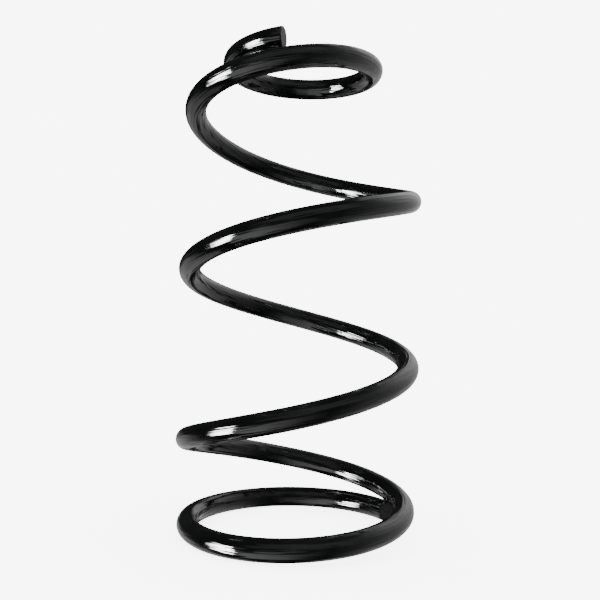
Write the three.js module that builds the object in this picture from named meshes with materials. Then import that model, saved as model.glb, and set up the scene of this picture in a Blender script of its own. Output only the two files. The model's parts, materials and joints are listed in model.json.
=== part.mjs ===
// Coil spring of a car's suspension strut: one round steel bar wound into a flat seat coil at the
// bottom, an open cylindrical body, and a smaller pigtail coil at the top.
// The bar is divided by upright radial cuts into short spans, each a closed solid, so that the
// spring can close up: a span keeps its shape and drops past the cut face of the span below it.
// Millimetres, +Z up. The origin is on the coil's axis, at the underside of the seat coil.

import * as THREE from "three";

// The bar.
const WIRE_D = 14;
const SECTION_SIDES = 12;
const END_CHAMFER = 0.8;

// Places along the bar are angles round the axis, in degrees from +X, counter-clockwise from above,
// and they go on past 360 with each turn.
const LOWER_END = 25;
const SEAT_END = 405;
const PIGTAIL_START = 1350;
const UPPER_END = 1695;

// Radii of the bar's centre line, and where it passes from one to the next.
const SEAT_RADIUS = 71;
const BODY_RADIUS = 72.5;
const PIGTAIL_RADIUS = 46;
const SEAT_TO_BODY = { middle: 450, width: 200 };
const BODY_TO_PIGTAIL = { middle: 1326, width: 185 };

// Rise of the bar per turn, which changes evenly between these places.
const PITCH = [
  { at: 210, rise: 0 },
  { at: 430, rise: 78 },
  { at: 470, rise: 97 },
  { at: 940, rise: 122 },
  { at: 1060, rise: 75 },
  { at: 1230, rise: 138 },
  { at: 1440, rise: -3 },
  { at: 1695, rise: 25 },
];

// The cuts between the spans. Each end coil moves as one, and is cut at the quarter turns. The
// working coils move span by span, in four runs, and where two runs meet a span is cut in half.
const END_SPAN = 90;
const WORKING_SPAN = 30;
const RUN_ENDS = [630, 870, 1110];
const FACET_STEP = 9;
const CUT_GAP = 0.3;

const COATED_STEEL = { color: 0x17191a, roughness: 0.3, metalness: 0.1 };

const radians = THREE.MathUtils.degToRad;

// Change from one coil radius to the next, eased at both ends.
function passage(angle, { middle, width }) {
  return THREE.MathUtils.smoothstep(angle, middle - width / 2, middle + width / 2);
}

function coilRadius(angle) {
  const body = THREE.MathUtils.lerp(SEAT_RADIUS, BODY_RADIUS, passage(angle, SEAT_TO_BODY));
  return THREE.MathUtils.lerp(body, PIGTAIL_RADIUS, passage(angle, BODY_TO_PIGTAIL));
}

// Rise per turn at an angle, between two places of the pitch list.
function riseBetween(low, high, angle) {
  return THREE.MathUtils.mapLinear(angle, low.at, high.at, low.rise, high.rise);
}

// Height of the centre line: the pitch added up from the flat seat coil to the angle.
function coilHeight(angle) {
  let height = WIRE_D / 2;
  for (let i = 1; i < PITCH.length; i += 1) {
    const [low, high] = [PITCH[i - 1], PITCH[i]];
    const top = Math.min(angle, high.at);
    if (top > low.at) {
      const meanRise = (low.rise + riseBetween(low, high, top)) / 2;
      height += (meanRise * (top - low.at)) / 360;
    }
  }
  return height;
}

// Slope of the centre line, as the cosine of its angle above level.
function slopeCosine(angle) {
  const climb = coilHeight(angle + 0.5) - coilHeight(angle - 0.5);
  return Math.cos(Math.atan2(climb, coilRadius(angle) * radians(1)));
}

// The bar's round section, as a polygon with a corner at its lowest point.
function barSection() {
  const section = new THREE.Shape();
  section.absarc(0, 0, WIRE_D / 2, 0, 2 * Math.PI);
  return new THREE.Shape(section.getSpacedPoints(SECTION_SIDES).slice(0, SECTION_SIDES));
}

// Where the section stands along one span, and its size there: full size, but for a chamfered end.
function sectionPlaces(start, end) {
  const gap = THREE.MathUtils.radToDeg(CUT_GAP / 2 / coilRadius(start));
  const first = start === LOWER_END ? start : start + gap;
  const last = end === UPPER_END ? end : end - gap;
  const steps = Math.ceil((end - start) / FACET_STEP);
  const places = [];
  for (let i = 0; i <= steps; i += 1) {
    places.push({ angle: THREE.MathUtils.lerp(first, last, i / steps), size: 1 });
  }
  const cutSize = 1 - (2 * END_CHAMFER) / WIRE_D;
  if (start === LOWER_END) {
    places[0].angle += THREE.MathUtils.radToDeg(END_CHAMFER / coilRadius(start));
    places.unshift({ angle: start, size: cutSize });
  }
  if (end === UPPER_END) {
    places[steps].angle -= THREE.MathUtils.radToDeg(END_CHAMFER / coilRadius(end));
    places.push({ angle: end, size: cutSize });
  }
  return places;
}

// One span: the section drawn straight by ExtrudeGeometry, then carried onto the coil. Each section
// stands in an upright plane through the axis, and is stretched upwards by the slope so that the bar
// is round across its own length.
function spanGeometry(start, end) {
  const places = sectionPlaces(start, end);
  const steps = places.length - 1;
  const geometry = new THREE.ExtrudeGeometry(barSection(), { depth: 1, steps, bevelEnabled: false });
  const position = geometry.getAttribute("position");
  for (let i = 0; i < position.count; i += 1) {
    const { angle, size } = places[Math.round(position.getZ(i) * steps)];
    const height = coilHeight(angle) + (position.getX(i) * size) / slopeCosine(angle);
    const outwards = coilRadius(angle) + position.getY(i) * size;
    const turn = radians(angle);
    position.setXYZ(i, outwards * Math.cos(turn), outwards * Math.sin(turn), height);
  }
  geometry.computeVertexNormals();
  return geometry;
}

function span(name, start, end) {
  const mesh = new THREE.Mesh(spanGeometry(start, end), new THREE.MeshStandardMaterial(COATED_STEEL));
  mesh.name = name;
  return mesh;
}

function endCuts(start, end) {
  const cuts = [start, end];
  for (let cut = Math.ceil((start + 1) / END_SPAN) * END_SPAN; cut < end; cut += END_SPAN) {
    cuts.push(cut);
  }
  return cuts;
}

function workingCuts() {
  const cuts = [...RUN_ENDS, PIGTAIL_START];
  for (let cut = SEAT_END; cut < PIGTAIL_START; cut += WORKING_SPAN) {
    cuts.push(cut);
  }
  return cuts;
}

// One stretch of the bar, as the spans between its cuts.
function stretch(name, cuts) {
  const group = new THREE.Group();
  cuts.sort((a, b) => a - b);
  for (let i = 1; i < cuts.length; i += 1) {
    group.add(span(`${name}_${String(i).padStart(2, "0")}`, cuts[i - 1], cuts[i]));
  }
  return group;
}

const spring = new THREE.Group();
spring.add(stretch("seat_coil", endCuts(LOWER_END, SEAT_END)));
spring.add(stretch("body_coil", workingCuts()));
spring.add(stretch("pigtail_coil", endCuts(PIGTAIL_START, UPPER_END)));

export default spring;
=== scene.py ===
import bisect
import json
import math

import bpy
from mathutils import Matrix, Vector


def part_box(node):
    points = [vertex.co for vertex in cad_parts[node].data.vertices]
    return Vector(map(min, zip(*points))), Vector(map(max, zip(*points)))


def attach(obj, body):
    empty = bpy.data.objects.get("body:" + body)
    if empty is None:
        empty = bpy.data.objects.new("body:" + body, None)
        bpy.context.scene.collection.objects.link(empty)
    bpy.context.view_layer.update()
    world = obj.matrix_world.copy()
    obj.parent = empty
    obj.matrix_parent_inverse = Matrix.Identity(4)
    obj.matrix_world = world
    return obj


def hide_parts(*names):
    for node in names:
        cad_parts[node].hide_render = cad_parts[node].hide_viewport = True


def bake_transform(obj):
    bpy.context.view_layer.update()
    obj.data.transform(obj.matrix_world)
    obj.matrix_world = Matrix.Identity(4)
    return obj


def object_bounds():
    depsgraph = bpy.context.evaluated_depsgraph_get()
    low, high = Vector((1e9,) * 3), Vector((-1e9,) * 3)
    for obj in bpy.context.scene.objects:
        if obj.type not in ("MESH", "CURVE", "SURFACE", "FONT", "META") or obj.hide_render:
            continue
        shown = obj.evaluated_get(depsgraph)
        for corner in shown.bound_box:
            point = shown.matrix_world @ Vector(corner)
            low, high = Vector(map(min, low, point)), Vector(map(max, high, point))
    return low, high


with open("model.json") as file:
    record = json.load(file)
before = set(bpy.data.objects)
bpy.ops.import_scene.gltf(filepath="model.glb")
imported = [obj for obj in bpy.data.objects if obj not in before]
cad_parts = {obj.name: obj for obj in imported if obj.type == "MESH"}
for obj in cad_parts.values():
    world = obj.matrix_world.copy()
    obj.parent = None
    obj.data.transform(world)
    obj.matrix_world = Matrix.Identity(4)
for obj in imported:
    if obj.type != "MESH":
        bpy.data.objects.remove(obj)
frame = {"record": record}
cad_low, cad_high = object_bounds()
bodies = frame["record"]["behaviour"]["bodies"]

# The seat coil is the first turn of the spring, wound flat, and stands on the lower seat. It begins a
# single bar of round spring steel, which is wound hot on a mandrel from this end to the other,
# quenched and shot-blasted. Both of its ends are sheared off square, and nothing is fixed to it.

# Places along the bar are angles round the axis, in degrees, that go on past 360 with each turn.
LOWER_END = 25
SEAT_END = 390
UPPER_END = 1695

# The mandrel: the radius of the bar's centre line, and where it passes from one to the next.
seat_low, seat_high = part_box("seat_coil_02")
body_low, body_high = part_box("body_coil_12")
pigtail_low, pigtail_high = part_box("pigtail_coil_03")
BAR_RADIUS = (seat_high.z - seat_low.z) / 2
SEAT_RADIUS = seat_high.y - BAR_RADIUS
BODY_RADIUS = body_high.x - BAR_RADIUS
PIGTAIL_RADIUS = pigtail_high.y - BAR_RADIUS
SEAT_TO_BODY = (350, 550)
BODY_TO_PIGTAIL = (1233.5, 1418.5)

# Rise per turn, in metres, at places between which it changes evenly.
PITCH = [
    (210, 0.0),
    (430, 0.078),
    (470, 0.097),
    (940, 0.122),
    (1060, 0.075),
    (1230, 0.138),
    (1440, -0.003),
    (1695, 0.025),
]

CUT_EDGE = 0.0012  # radius of the edge round each cut face, under the coating
EDGE_ROWS = 4  # rows of faces round that edge
SIDES = 64  # faces round the bar
ROW_STEP = 0.75  # degrees of bar between rows
SHARP_EDGE = math.radians(40)  # edges that turn more than this aren't shaded smooth

MATHS = "ShaderNodeMath"
RANGE = "ShaderNodeMapRange"


def add(tree, kind, inputs=(), **settings):
    """Add a node and its settings. Its inputs, by name or in order, are values, nodes or sockets."""
    node = tree.nodes.new(kind)
    for name, value in settings.items():
        setattr(node, name, value)
    for key, value in inputs.items() if isinstance(inputs, dict) else enumerate(inputs):
        if isinstance(value, bpy.types.Node):
            value = value.outputs[0]
        if isinstance(value, bpy.types.NodeSocket):
            tree.links.new(value, node.inputs[key])
        else:
            node.inputs[key].default_value = value
    return node


def coiled_bar():
    """Geometry Nodes tree: the stretch of the bar between two angles, as a closed solid."""
    tree = bpy.data.node_groups.new("coiled_bar", "GeometryNodeTree")
    sockets = {
        "NodeSocketFloat": ["Start", "End", "Start Edge", "End Edge", "Bar Radius"]
        + ["Seat Radius", "Body Radius", "Pigtail Radius"],
        "NodeSocketInt": ["Steps", "Sides"],
        "NodeSocketMaterial": ["Coating"],
    }
    tree.interface.new_socket("Geometry", in_out="INPUT", socket_type="NodeSocketGeometry")
    for kind, names in sockets.items():
        for name in names:
            tree.interface.new_socket(name, in_out="INPUT", socket_type=kind)
    tree.interface.new_socket("Geometry", in_out="OUTPUT", socket_type="NodeSocketGeometry")
    given = add(tree, "NodeGroupInput").outputs

    # A flat sheet: one row for each place along the bar, with extra rows for the two cut ends.
    end_rows = EDGE_ROWS + 1
    rows = add(tree, MATHS, [given["Steps"], 2 * end_rows], operation="ADD")
    sheet = add(
        tree,
        "GeometryNodeMeshGrid",
        {
            "Size X": rows,
            "Size Y": given["Sides"],
            "Vertices X": add(tree, MATHS, [rows, 1.0], operation="ADD"),
            "Vertices Y": add(tree, MATHS, [given["Sides"], 1.0], operation="ADD"),
        },
    )
    flat = add(tree, "ShaderNodeSeparateXYZ", [add(tree, "GeometryNodeInputPosition")]).outputs
    middle_row = add(tree, MATHS, [rows, 0.5], operation="MULTIPLY")
    row = add(tree, MATHS, [flat["X"], middle_row], operation="ADD")
    row = add(tree, MATHS, [row], operation="ROUND")
    around = add(tree, MATHS, [flat["Y"], given["Sides"]], operation="DIVIDE")
    around = add(tree, MATHS, [around, 0.5], operation="ADD")
    around = add(tree, MATHS, [around, 2 * math.pi], operation="MULTIPLY")

    # Each end: the middle of the cut face, then a quarter round up to the full section.
    far_half = add(tree, MATHS, [row, middle_row], operation="GREATER_THAN")
    from_far_end = add(tree, MATHS, [rows, row], operation="SUBTRACT")
    from_end = add(tree, MATHS, [row, from_far_end], operation="MINIMUM")
    edges = {"Switch": far_half, "False": given["Start Edge"], "True": given["End Edge"]}
    edge = add(tree, "GeometryNodeSwitch", edges, input_type="FLOAT")
    quarter = add(tree, RANGE, [from_end, 1.0, end_rows, 0.0, math.pi / 2])
    sine = add(tree, MATHS, [quarter], operation="SINE")
    sine_left = add(tree, MATHS, [1.0, sine], operation="SUBTRACT")
    drawn_in = add(tree, MATHS, [edge, sine_left], operation="MULTIPLY")
    cosine = add(tree, MATHS, [quarter], operation="COSINE")
    set_back = add(tree, MATHS, [edge, cosine], operation="MULTIPLY")
    off_middle = add(tree, MATHS, [from_end, 0.5], operation="GREATER_THAN")
    section = add(tree, MATHS, [given["Bar Radius"], drawn_in], operation="SUBTRACT")
    section = add(tree, MATHS, [off_middle, section], operation="MULTIPLY")

    def radius_at(angle):
        """The radius of the bar's centre line."""
        limits = [angle, *SEAT_TO_BODY, given["Seat Radius"], given["Body Radius"]]
        body = add(tree, RANGE, limits, interpolation_type="SMOOTHSTEP")
        limits = [angle, *BODY_TO_PIGTAIL, body, given["Pigtail Radius"]]
        return add(tree, RANGE, limits, interpolation_type="SMOOTHSTEP")

    def degrees_along(length, angle):
        """How many degrees a short length of bar takes up."""
        turned = add(tree, MATHS, [length, radius_at(angle)], operation="DIVIDE")
        return add(tree, MATHS, [turned], operation="DEGREES")

    # The angle of each row, with the rounded rows set out past the last full section.
    first_edge = degrees_along(given["Start Edge"], given["Start"])
    first = add(tree, MATHS, [given["Start"], first_edge], operation="ADD")
    last_edge = degrees_along(given["End Edge"], given["End"])
    last = add(tree, MATHS, [given["End"], last_edge], operation="SUBTRACT")
    last_row = add(tree, MATHS, [rows, end_rows], operation="SUBTRACT")
    along = add(tree, RANGE, [row, end_rows, last_row])
    whole = add(tree, MATHS, [last, first], operation="SUBTRACT")
    full = add(tree, MATHS, [along, whole, first], operation="MULTIPLY_ADD")
    way = add(tree, MATHS, [far_half, 2.0, -1.0], operation="MULTIPLY_ADD")
    past = degrees_along(set_back, full)
    angle = add(tree, MATHS, [way, past, full], operation="MULTIPLY_ADD")

    # Height: each change of pitch adds its own rise, growing while it comes in and steady after.
    radius = radius_at(angle)
    rise = PITCH[0][1]
    height = given["Bar Radius"]
    for (place, before), (next_place, after) in zip(PITCH, PITCH[1:]):
        share = add(tree, RANGE, [angle, place, next_place])
        squared = add(tree, MATHS, [share, share], operation="MULTIPLY")
        growing = add(tree, MATHS, [squared, (next_place - place) / 2], operation="MULTIPLY")
        passed = add(tree, MATHS, [angle, next_place], operation="SUBTRACT")
        passed = add(tree, MATHS, [passed, 0.0], operation="MAXIMUM")
        lifted = add(tree, MATHS, [growing, passed], operation="ADD")
        step = (after - before) / 360
        height = add(tree, MATHS, [lifted, step, height], operation="MULTIPLY_ADD")
        rise = add(tree, MATHS, [share, after - before, rise], operation="MULTIPLY_ADD")
    one_turn = add(tree, MATHS, [radius, 2 * math.pi], operation="MULTIPLY")
    slope = add(tree, MATHS, [rise, one_turn], operation="DIVIDE")
    stretch = add(tree, MATHS, [slope, slope, 1.0], operation="MULTIPLY_ADD")
    stretch = add(tree, MATHS, [stretch], operation="SQRT")

    # Every section stands upright through the axis, so that neighbours meet along one ring.
    cosine = add(tree, MATHS, [around], operation="COSINE")
    across = add(tree, MATHS, [section, cosine], operation="MULTIPLY")
    sine = add(tree, MATHS, [around], operation="SINE")
    up = add(tree, MATHS, [section, sine], operation="MULTIPLY")
    up = add(tree, MATHS, [up, stretch], operation="MULTIPLY")
    turn = add(tree, MATHS, [angle], operation="RADIANS")
    cosine = add(tree, MATHS, [turn], operation="COSINE")
    sine = add(tree, MATHS, [turn], operation="SINE")
    outwards = add(tree, MATHS, [radius, across], operation="ADD")
    coil_place = [
        add(tree, MATHS, [outwards, cosine], operation="MULTIPLY"),
        add(tree, MATHS, [outwards, sine], operation="MULTIPLY"),
        add(tree, MATHS, [height, up], operation="ADD"),
    ]
    coil_place = add(tree, "ShaderNodeCombineXYZ", coil_place)

    # What the coating follows: the same place on the bar as if it were straight, and the cut faces.
    length_along = add(tree, MATHS, [turn, given["Body Radius"]], operation="MULTIPLY")
    bar_place = add(tree, "ShaderNodeCombineXYZ", [length_along, across, up])
    has_edge = add(tree, MATHS, [edge, 0.0], operation="GREATER_THAN")
    on_face = add(tree, MATHS, [from_end, 1.5], operation="LESS_THAN")
    cut_face = add(tree, MATHS, [has_edge, on_face], operation="MULTIPLY")
    straight = add(
        tree,
        "GeometryNodeStoreNamedAttribute",
        {"Geometry": sheet, "Name": "bar_place", "Value": bar_place},
        data_type="FLOAT_VECTOR",
        domain="POINT",
    )
    marked = add(
        tree,
        "GeometryNodeStoreNamedAttribute",
        {"Geometry": straight, "Name": "cut_face", "Value": cut_face},
        data_type="FLOAT",
        domain="POINT",
    )
    coiled = add(tree, "GeometryNodeSetPosition", {"Geometry": marked, "Position": coil_place})
    closed = add(tree, "GeometryNodeMergeByDistance", {"Geometry": coiled, "Distance": 1e-6})
    facing = add(tree, "GeometryNodeFlipFaces", {"Mesh": closed})
    corner = add(tree, "GeometryNodeInputMeshEdgeAngle")
    rounded = add(tree, MATHS, [corner, SHARP_EDGE], operation="LESS_THAN")
    shading = {"Geometry": facing, "Shade Smooth": rounded}
    smooth = add(tree, "GeometryNodeSetShadeSmooth", shading, domain="EDGE")
    real = add(tree, "GeometryNodeRealizeInstances", {"Geometry": smooth})
    finish = {"Geometry": real, "Material": given["Coating"]}
    add(tree, "NodeGroupOutput", {"Geometry": add(tree, "GeometryNodeSetMaterial", finish)})
    return tree


# The coating: gloss black powder coat, an epoxy powder sprayed on the blasted bar and melted. It
# flows out glassy, so that it mirrors the room in sharp lights on near-black. Its faint orange peel
# and the bar's rolled ripples and drawn lines under it break those lights into lengthwise streaks.
COAT_BLACK = "#060707"  # full-gloss black, with a trace of grey from the resin
COAT_DUSTED = "#0C0D0D"  # where handling has left the film a little duller
COAT_IOR = 1.5  # epoxy resin
COAT_ROUGHNESS = 0.07
DULL_ROUGHNESS = 0.13
SHEARED_ROUGHNESS = 0.55  # the cut faces, torn by the shear under the film
FILM_PATCH = 0.030  # patches of duller film
PEEL_SIZE = 0.0025  # orange peel, crest to crest
PEEL_DEPTH = 0.00004
RIPPLE_SIZE = 0.0060  # ripples left by rolling, across the bar
RIPPLE_STRETCH = 0.25  # and how much slower they change along it
RIPPLE_DEPTH = 0.00046
LINE_SIZE = 0.0012  # lines left by drawing through the die, coarser than the real ones so as to show
LINE_STRETCH = 0.07
LINE_DEPTH = 0.00032


def linear(hex_colour):
    """An sRGB hex colour as linear red, green, blue and alpha."""
    levels = [int(hex_colour[i : i + 2], 16) / 255 for i in (1, 3, 5)]
    return [v / 12.92 if v <= 0.04045 else ((v + 0.055) / 1.055) ** 2.4 for v in levels] + [1.0]


def powder_coat():
    coat = bpy.data.materials.new("powder_coat_gloss_black")
    coat.use_nodes = True
    tree = coat.node_tree
    tree.nodes.clear()
    bar = add(tree, "ShaderNodeAttribute", attribute_name="bar_place").outputs["Vector"]
    cut = add(tree, "ShaderNodeAttribute", attribute_name="cut_face").outputs["Fac"]

    # Patches of duller film, and the matt cut faces.
    patch = add(tree, "ShaderNodeTexNoise", {"Vector": bar, "Scale": 1 / FILM_PATCH, "Detail": 4.0})
    dull = add(tree, RANGE, [patch, 0.45, 0.75])
    blacks = {"Factor": dull, 6: linear(COAT_BLACK), 7: linear(COAT_DUSTED)}
    colour = add(tree, "ShaderNodeMix", blacks, data_type="RGBA").outputs[2]
    gloss = add(tree, RANGE, [dull, 0.0, 1.0, COAT_ROUGHNESS, DULL_ROUGHNESS])
    finishes = {"Factor": cut, "A": gloss, "B": SHEARED_ROUGHNESS}
    roughness = add(tree, "ShaderNodeMix", finishes, data_type="FLOAT")

    # The relief, from the widest to the finest: how long it is along the bar, its size and depth.
    reliefs = [
        (RIPPLE_STRETCH, RIPPLE_SIZE, RIPPLE_DEPTH, 1.0),
        (LINE_STRETCH, LINE_SIZE, LINE_DEPTH, 0.0),
        (1.0, PEEL_SIZE, PEEL_DEPTH, 0.0),
    ]
    relief = None
    for along, size, depth, detail in reliefs:
        drawn = add(tree, "ShaderNodeMapping", {"Vector": bar, "Scale": (along, 1.0, 1.0)})
        pattern = {"Vector": drawn, "Scale": 1 / size, "Detail": detail}
        bump = {"Height": add(tree, "ShaderNodeTexNoise", pattern), "Distance": depth}
        if relief:
            bump["Normal"] = relief
        relief = add(tree, "ShaderNodeBump", bump)
    resin = {"Base Color": colour, "Roughness": roughness, "Normal": relief, "IOR": COAT_IOR}
    shader = add(tree, "ShaderNodeBsdfPrincipled", resin)
    add(tree, "ShaderNodeOutputMaterial", {"Surface": shader})
    return coat


coating = powder_coat()
bar_tree = coiled_bar()
bar_sockets = {s.name: s.identifier for s in bar_tree.interface.items_tree if s.in_out == "INPUT"}


def stretch_of_bar(name, start, end):
    """A plain mesh of the bar between two angles, closed at both ends and coated."""
    maker = bpy.data.objects.new(name + "_maker", bpy.data.meshes.new(name + "_maker"))
    bpy.context.scene.collection.objects.link(maker)
    modifier = maker.modifiers.new("coiled_bar", "NODES")
    modifier.node_group = bar_tree
    sizes = {
        "Start": float(start),
        "End": float(end),
        "Start Edge": CUT_EDGE if start == LOWER_END else 0.0,
        "End Edge": CUT_EDGE if end == UPPER_END else 0.0,
        "Bar Radius": BAR_RADIUS,
        "Seat Radius": SEAT_RADIUS,
        "Body Radius": BODY_RADIUS,
        "Pigtail Radius": PIGTAIL_RADIUS,
        "Steps": round((end - start) / ROW_STEP),
        "Sides": SIDES,
        "Coating": coating,
    }
    for socket, value in sizes.items():
        modifier[bar_sockets[socket]] = value
    made = maker.evaluated_get(bpy.context.evaluated_depsgraph_get())
    mesh = bpy.data.meshes.new_from_object(made)
    mesh.name = name
    bpy.data.objects.remove(maker)
    piece = bpy.data.objects.new(name, mesh)
    bpy.context.scene.collection.objects.link(piece)
    return piece


seat = stretch_of_bar("seat_coil", LOWER_END, SEAT_END)
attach(seat, "lower_seat")
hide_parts(*bodies["lower_seat"])

# The working coils are the open turns between the two ends: the same bar, not held anywhere. As the
# spring is pressed the bar twists and they close up, with the cube of the coil's radius, but not at
# all where the bar lies on the seat coil or goes into the pigtail.
PIGTAIL_START = 1350
PIECE_ANGLE = 10
OFF_THE_SEAT = (360, 560)
INTO_THE_PIGTAIL = (1280, 1440)


def eased(angle, start, end):
    """0 up to the start and 1 from the end on, with a smooth change between."""
    share = min(1.0, max(0.0, (angle - start) / (end - start)))
    return share * share * (3 - 2 * share)


def coil_radius(angle):
    body = SEAT_RADIUS + (BODY_RADIUS - SEAT_RADIUS) * eased(angle, *SEAT_TO_BODY)
    return body + (PIGTAIL_RADIUS - body) * eased(angle, *BODY_TO_PIGTAIL)


def give(angle):
    """How much the bar comes down there, for each degree of it."""
    held = (1 - eased(angle, *OFF_THE_SEAT), eased(angle, *INTO_THE_PIGTAIL))
    return coil_radius(angle) ** 3 * (1 - held[0]) * (1 - held[1])


# The share of the whole travel that the bar has at each degree.
closing = [0.0]
for degree in range(SEAT_END, PIGTAIL_START):
    closing.append(closing[-1] + give(degree + 0.5))
closing = [share / closing[-1] for share in closing]

# Each piece is baked in place where it lies, attached to no body.
# It stands for the solid at its middle: the solids are 30 degrees long, or 15 where a run ends.
solid_starts = sorted({*range(405, PIGTAIL_START, 30), 630, 870, 1110})
for start in range(SEAT_END, PIGTAIL_START, PIECE_ANGLE):
    end = start + PIECE_ANGLE
    piece = stretch_of_bar(f"working_coil_{start:04d}", start, end)
    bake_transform(piece)
    solid = max(1, bisect.bisect(solid_starts, (start + end) / 2))
    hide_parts(f"body_coil_{solid:02d}")

# The pigtail coil is the last turn, wound smaller to fit the upper seat, with its cut end lifted
# clear. It is the same coated bar. The seat's groove holds it, so that it comes down whole.
pigtail = stretch_of_bar("pigtail_coil", PIGTAIL_START, UPPER_END)
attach(pigtail, "upper_seat")
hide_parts(*bodies["upper_seat"])

# The floor is a plain sheet of matt white paper that glows a little, so that it is as pale as the
# air behind. The spring doesn't mirror it: what its gloss sees is the studio's own panels.
FLOOR_PALE = "#F4F4F4"
FLOOR_HALF = 6.0
FLOOR_GLOW = 5.0
corners = [(-1, -1), (1, -1), (1, 1), (-1, 1)]
floor_mesh = bpy.data.meshes.new("floor")
floor_mesh.from_pydata(
    [(x * FLOOR_HALF, y * FLOOR_HALF, cad_low.z) for x, y in corners], [], [(0, 1, 2, 3)]
)
floor = bpy.data.objects.new("floor", floor_mesh)
bpy.context.scene.collection.objects.link(floor)
paper = bpy.data.materials.new("floor_paper_matt_white")
paper.use_nodes = True
paper_look = {
    "Base Color": linear(FLOOR_PALE),
    "Roughness": 0.9,
    "Specular IOR Level": 0.0,
    "Emission Color": linear("#FFFFFF"),
    "Emission Strength": FLOOR_GLOW,
}
for name, value in paper_look.items():
    paper.node_tree.nodes["Principled BSDF"].inputs[name].default_value = value
floor_mesh.materials.append(paper)
floor.visible_glossy = False
floor.visible_diffuse = False

# The studio is an even white dome to the eye and to the floor. To the gloss of the coating it is a
# dark room with a few lit panels. Azimuth runs from the front to the left, in degrees.
DOME = 3.3
BACKDROP = 8.0
ROOM_DARK = 0.02
world = bpy.data.worlds.new("studio")
bpy.context.scene.world = world
world.use_nodes = True
studio = world.node_tree
studio.nodes.clear()
ray = add(studio, "ShaderNodeTexCoord").outputs["Generated"]
ray_parts = add(studio, "ShaderNodeSeparateXYZ", [ray]).outputs
forward = add(studio, MATHS, [ray_parts["Y"], -1.0], operation="MULTIPLY")
leftward = add(studio, MATHS, [ray_parts["X"], -1.0], operation="MULTIPLY")
azimuth = add(studio, MATHS, [leftward, forward], operation="ARCTAN2")
azimuth = add(studio, MATHS, [azimuth], operation="DEGREES")
elevation = add(studio, MATHS, [ray_parts["Z"]], operation="ARCSINE")
elevation = add(studio, MATHS, [elevation], operation="DEGREES")


def panel(azimuths, elevations, brightness):
    """A lit panel: where it starts to show, is full, is still full and has gone, each way."""
    lit = brightness
    for value, (start, full, still, gone) in ((azimuth, azimuths), (elevation, elevations)):
        for dark, bright in ((start, full), (gone, still)):
            edge = add(studio, RANGE, [value, dark, bright], interpolation_type="SMOOTHSTEP")
            lit = add(studio, MATHS, [lit, edge], operation="MULTIPLY")
    return lit


panels = [
    panel((58, 63, 72, 90), (-36, -24, -6, 9), 140.0),  # tall soft box, front left
    panel((-40, 50, 60, 70), (-88, -60, -25, 3), 1.9),  # the table that it lights
    panel((-70, -40, 40, 60), (12, 30, 60, 80), 0.35),  # the ceiling in front
    panel((95, 130, 165, 178), (-75, -45, -18, 4), 0.72),  # wall to the left and behind
    panel((-178, -165, -120, -25), (-75, -45, 40, 75), 0.72),  # wall to the right and behind
    panel((-175, -155, -130, -60), (0, 30, 45, 70), 0.45),  # its top, nearer the ceiling lamps
]
room = ROOM_DARK
for lit in panels:
    room = add(studio, MATHS, [room, lit], operation="ADD")
path = add(studio, "ShaderNodeLightPath").outputs
air = {"Factor": path["Is Camera Ray"], "A": DOME, "B": BACKDROP}
air = add(studio, "ShaderNodeMix", air, data_type="FLOAT")
seen = {"Factor": path["Is Glossy Ray"], "A": air, "B": room}
seen = add(studio, "ShaderNodeMix", seen, data_type="FLOAT")
light = {"Color": linear("#FFFFFF"), "Strength": seen}
light = add(studio, "ShaderNodeBackground", light)
add(studio, "ShaderNodeOutputWorld", {"Surface": light})

# The camera stands half a metre in front of the spring, just under its middle height, and looks
# straight at it, half a degree upwards and a degree off level.
CAMERA_PLACE = (0.0006, -0.5359, 0.1480)
CAMERA_TILT = math.radians(90.608)
CAMERA_ROLL = math.radians(1.002)
camera_lens = bpy.data.cameras.new("camera")
camera_lens.sensor_width = 36.0
camera_lens.lens = 48.36
camera = bpy.data.objects.new("camera", camera_lens)
camera.matrix_world = (
    Matrix.Translation(CAMERA_PLACE)
    @ Matrix.Rotation(CAMERA_TILT, 4, "X")
    @ Matrix.Rotation(CAMERA_ROLL, 4, "Z")
)
bpy.context.scene.collection.objects.link(camera)
bpy.context.scene.camera = camera
